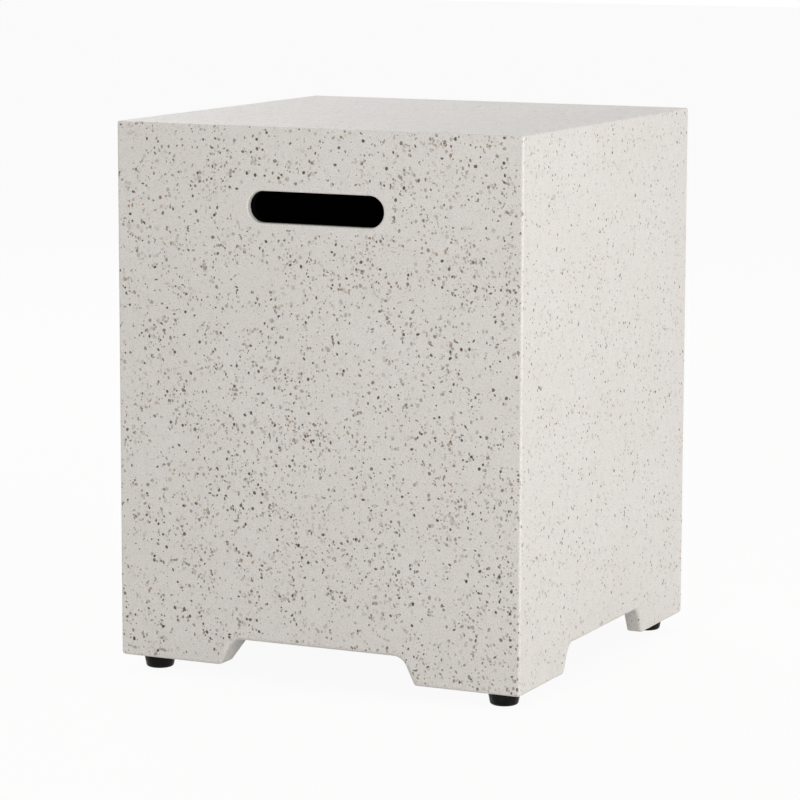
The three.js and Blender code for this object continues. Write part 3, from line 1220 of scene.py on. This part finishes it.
@dataclass
class LevellingFoot:
    """One foot: the cast-in insert, the stud that screws into it, and the pad on the stud's flange."""

    corner: Corner
    finishes: FootFinishes
    centre: float = 174 * MM
    segments: int = 64
    insert_radius: float = 6 * MM
    insert_bottom: float = 13.5 * MM
    insert_top: float = 33.5 * MM
    insert_chamfer: float = 0.6 * MM
    groove_depth: float = 1 * MM
    groove_width: float = 4 * MM
    groove_slant: float = 0.2 * MM
    knurl_depth: float = 0.25 * MM
    knurls: int = 40
    bore: float = 4.3 * MM
    stud_radius: float = 4 * MM
    core_radius: float = 3.35 * MM
    pitch: float = 1.25 * MM
    stud_top: float = 43.5 * MM
    stud_tip: float = 1 * MM
    flange_radius: float = 9.7 * MM
    flange_bottom: float = 4.8 * MM
    flange_top: float = 7.8 * MM
    flange_chamfer: float = 0.4 * MM
    pad_radius: float = 14.5 * MM
    pad_taper: float = 1.5 * MM
    pad_round: float = 3 * MM
    pad_top: float = 11.5 * MM
    pad_top_round: float = 0.8 * MM
    pad_floor: float = 4.5 * MM
    pad_neck_chamfer: float = 0.5 * MM
    dimple_radius: float = 1.6 * MM
    dimple_depth: float = 0.6 * MM
    dimple_slant: float = 0.4 * MM
    ring_inside: float = 5.2 * MM
    ring_outside: float = 6.2 * MM
    ring_depth: float = 0.35 * MM
    pocket_clearance: float = 0.3 * MM
    crease: float = 40.0
    thread_crease: float = 32.0

    @property
    def place(self) -> Point2:
        """Where the foot's axis stands."""
        return (self.corner.value[0] * self.centre, self.corner.value[1] * self.centre)

    def build(self) -> list[bpy.types.Object]:
        """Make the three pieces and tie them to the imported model.

        Returns:
            The insert, the stud and the pad.
        """
        label = self.corner.label
        insert, stud, pad = self._insert(), self._stud(), self._pad()
        rows = (
            (insert, "threaded_insert_", "insert_brass", "cover", self.crease),
            (stud, "levelling_stud_", "zinc_plated_steel", f"stud_{label}", self.thread_crease),
            (pad, "foot_pad_", "black_pad", f"pad_{label}", self.crease),
        )
        for piece, node, slot, body, angle in rows:
            smooth(piece.data, angle)
            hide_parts(node + label)
            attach(piece, body)
        return [insert, stud, pad]

    def _joined(
        self, name: str, parts: Sequence[bpy.types.Object], finish: bpy.types.Material
    ) -> bpy.types.Object:
        """Make one piece of several parts.

        Args:
            name: The piece's name.
            parts: Its parts, which are used up.
            finish: Its material.

        Returns:
            The piece.
        """
        shape = bmesh.new()
        for part in parts:
            shape.from_mesh(part.data)
            bpy.data.objects.remove(part)
        for face in shape.faces:
            face.material_index = 0
        made = solid(name, shape)
        made.data.materials.append(finish)
        return made

    def _insert(self) -> bpy.types.Object:
        """Turn the insert and press its two knurled bands.

        Returns:
            The insert.
        """
        radius = self.insert_radius - self.knurl_depth
        waist = self.insert_radius - self.groove_depth
        low, high, chamfer = self.insert_bottom, self.insert_top, self.insert_chamfer
        middle = (low + high) / 2
        groove = (middle - self.groove_width / 2, middle + self.groove_width / 2)
        profile = [
            (self.bore + chamfer, low),
            (radius - chamfer, low),
            (radius, low + chamfer),
            (radius, groove[0]),
            (waist, groove[0] + self.groove_slant),
            (waist, groove[1] - self.groove_slant),
            (radius, groove[1]),
            (radius, high - chamfer),
            (radius - chamfer, high),
            (self.bore + chamfer, high),
            (self.bore, high - chamfer),
            (self.bore, low + chamfer),
        ]
        parts = [solid("bush", turned(profile, self.segments, self.place))]
        for bottom, top in ((low + chamfer, groove[0]), (groove[1], high - chamfer)):
            values = {
                "Ridges": self.knurls,
                "Radius": radius,
                "Height": top - bottom,
                "Depth": self.knurl_depth,
                "Middle": (*self.place, (bottom + top) / 2),
                "Finish": self.finishes.brass,
            }
            parts.append(self.finishes.knurl.grow("knurl", bpy.data.meshes.new("blank"), values))
        return self._joined(f"brass_insert_{self.corner.label}", parts, self.finishes.brass)

    def _stud(self) -> bpy.types.Object:
        """Turn the stud and roll its thread.

        Returns:
            The stud.
        """
        edge, wide = self.flange_chamfer, self.flange_radius
        low, high = self.flange_bottom, self.flange_top
        profile = [
            (0, low),
            (wide - edge, low),
            (wide, low + edge),
            (wide, high - edge),
            (wide - edge, high),
            (self.core_radius + edge, high),
            (self.core_radius, high + edge),
            (self.core_radius, self.stud_top - self.stud_tip),
            (self.core_radius - self.stud_tip, self.stud_top),
            (0, self.stud_top),
        ]
        core = solid("core", turned(profile, self.segments, self.place))
        values = {
            "Core radius": self.core_radius,
            "Crest radius": self.stud_radius,
            "Pitch": self.pitch,
            "Length": self.stud_top - self.stud_tip - high - self.pitch,
            "Start": (*self.place, high + self.pitch / 2),
            "Finish": self.finishes.zinc,
        }
        thread = self.finishes.thread.grow("thread", bpy.data.meshes.new("blank"), values)
        return self._joined(f"zinc_stud_{self.corner.label}", [core, thread], self.finishes.zinc)

    def _pad(self) -> bpy.types.Object:
        """Mould the pad round the stud's flange.

        Returns:
            The pad.
        """
        low_radius = self.pad_radius - self.pad_taper
        contact = low_radius - self.pad_round
        clear = self.pocket_clearance
        pocket_top = self.flange_top + clear
        neck = self.stud_radius + clear
        ring = self.ring_depth
        shoulder = (self.pad_radius - self.pad_top_round, self.pad_top - self.pad_top_round)
        profile = [
            (0, self.dimple_depth),
            (self.dimple_radius, self.dimple_depth),
            (self.dimple_radius + self.dimple_slant, 0),
            (self.ring_inside, 0),
            (self.ring_inside + ring, ring),
            (self.ring_outside - ring, ring),
            (self.ring_outside, 0),
            *arc((contact, self.pad_round), self.pad_round, -90, -4, 10),
            *arc(shoulder, self.pad_top_round, 0, 90, 5),
            (neck + self.pad_neck_chamfer, self.pad_top),
            (neck, self.pad_top - self.pad_neck_chamfer),
            (neck, pocket_top),
            (self.flange_radius + clear, pocket_top),
            (self.flange_radius + clear, self.pad_floor),
            (0, self.pad_floor),
        ]
        pad = solid("pad", turned(profile, self.segments, self.place))
        return self._joined(f"moulded_pad_{self.corner.label}", [pad], self.finishes.black)


@dataclass
class PhotoCamera:
    """The camera that took the reference view, solved from the outline and edges of the box."""

    azimuth: float = 25.1535
    elevation: float = 8.599
    roll: float = 0.1414
    place: tuple[float, float, float] = (1.386142, -2.974297, 0.733484)
    focal_pixels: float = 3523.667
    image_pixels: float = 800.0
    sensor: float = 36.0
    furthest_seen: float = 50.0

    def build(self) -> None:
        """Set up the camera and make it the scene's."""
        data = bpy.data.cameras.new("photo_camera")
        data.sensor_width = self.sensor
        data.lens = self.focal_pixels * self.sensor / self.image_pixels
        data.clip_end = self.furthest_seen
        camera = bpy.data.objects.new("photo_camera", data)
        bpy.context.scene.collection.objects.link(camera)
        az, el, roll = (math.radians(angle) for angle in (self.azimuth, self.elevation, self.roll))
        forward = Vector((-math.sin(az) * math.cos(el), math.cos(az) * math.cos(el), -math.sin(el)))
        level = Vector((math.cos(az), math.sin(az), 0.0))
        above = level.cross(forward)
        right = math.cos(roll) * level + math.sin(roll) * above
        up = -math.sin(roll) * level + math.cos(roll) * above
        turn = Matrix((right, up, -forward)).transposed()
        camera.matrix_world = Matrix.Translation(self.place) @ turn.to_4x4()
        bpy.context.scene.camera = camera


@dataclass
class SoftLamp:
    """One square area lamp that looks at the middle of the object."""

    name: str
    place: tuple[float, float, float]
    width: float
    watts: float
    aim: tuple[float, float, float] = (0.0, 0.0, 0.25)

    def build(self) -> None:
        """Hang the lamp."""
        data = bpy.data.lights.new(self.name, "AREA")
        data.shape = "SQUARE"
        data.size = self.width
        data.energy = self.watts
        lamp = bpy.data.objects.new(self.name, data)
        bpy.context.scene.collection.objects.link(lamp)
        facing = (Vector(self.aim) - Vector(self.place)).to_track_quat("-Z", "Y")
        lamp.matrix_world = Matrix.Translation(self.place) @ facing.to_matrix().to_4x4()


@dataclass
class Studio:
    """Nearly white floor, a weak even sky, and soft lamps before, beside, above and behind the object."""

    white: Colour = colour("#ffffff")
    sky: float = 0.37
    floor_size: float = 30.0
    floor_white: float = 0.94
    floor_shade: Colour = (0.85, 0.83, 0.8, 1.0)
    lamps: tuple[SoftLamp, ...] = (
        SoftLamp("key_right", (3.0, -0.2, 0.6), 1.5, 30.5),
        SoftLamp("key_corner", (2.6, -1.5, 0.4), 1.5, 23.5),
        SoftLamp("fill_front", (0.8, -2.9, 0.5), 1.5, 29.0),
        SoftLamp("overhead", (0.0, 0.3, 3.2), 2.2, 15.0),
        SoftLamp("fill_back", (-2.0, 1.8, 2.4), 1.5, 30.0),
    )

    def build(self) -> None:
        """Set the whole studio up."""
        bpy.context.scene.view_settings.view_transform = "Standard"
        self._world()
        self._floor()
        for lamp in self.lamps:
            lamp.build()

    def _seen(self, bench: Bench) -> Wire:
        """Tell which rays show the backdrop.

        Args:
            bench: Where the nodes are made.

        Returns:
            One for camera, glossy and transmitted rays, else zero.
        """
        path = bench.node("ShaderNodeLightPath")
        camera = bench.wire(path, "Is Camera Ray")
        glossy = bench.wire(path, "Is Glossy Ray")
        return camera.most(glossy).most(bench.wire(path, "Is Transmission Ray"))

    def _world(self) -> None:
        """Plain white to the camera, and an even, weaker light from all sides for everything else."""
        world = bpy.data.worlds.new("studio")
        bpy.context.scene.world = world
        world.use_nodes = True
        world.node_tree.nodes.clear()
        bench = Bench(world.node_tree)
        strength = self._seen(bench).most(self.sky)
        light = bench.made("ShaderNodeBackground", None, {"Color": self.white, "Strength": strength})
        bench.node("ShaderNodeOutputWorld", None, {"Surface": light})

    def _floor(self) -> None:
        """Lay the floor, nearly white to the camera, with the object's shadow left on it."""
        paint = Paint("studio_floor")
        lit = paint.made("ShaderNodeBsdfDiffuse", None, {"Color": self.floor_shade})
        blank = paint.made("ShaderNodeEmission", None, {"Color": self.white, "Strength": 1.0})
        both = paint.coated(self._seen(paint) * self.floor_white, lit, blank)
        shape = bmesh.new()
        bmesh.ops.create_grid(shape, x_segments=1, y_segments=1, size=self.floor_size / 2)
        floor = solid("floor", shape)
        floor.data.materials.append(paint.finish(both))


def report(piece: bpy.types.Object) -> None:
    """Log a piece with its number of faces."""
    LOG.info("%s: %d faces", piece.name, len(piece.data.polygons))


def main() -> None:
    """Build the pieces in order, set the studio up and place the camera."""
    logging.basicConfig(level=logging.INFO, format="%(name)s %(message)s")
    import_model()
    cover = CoverShell()
    shell = cover.build()
    cover.dress(shell)
    report(shell)
    for chips in StoneChips().build(shell):
        report(chips)
    finishes = FootFinishes()
    for corner in Corner:
        for piece in LevellingFoot(corner, finishes).build():
            report(piece)
    Studio().build()
    PhotoCamera().build()


if __name__ == "__main__":
    main()
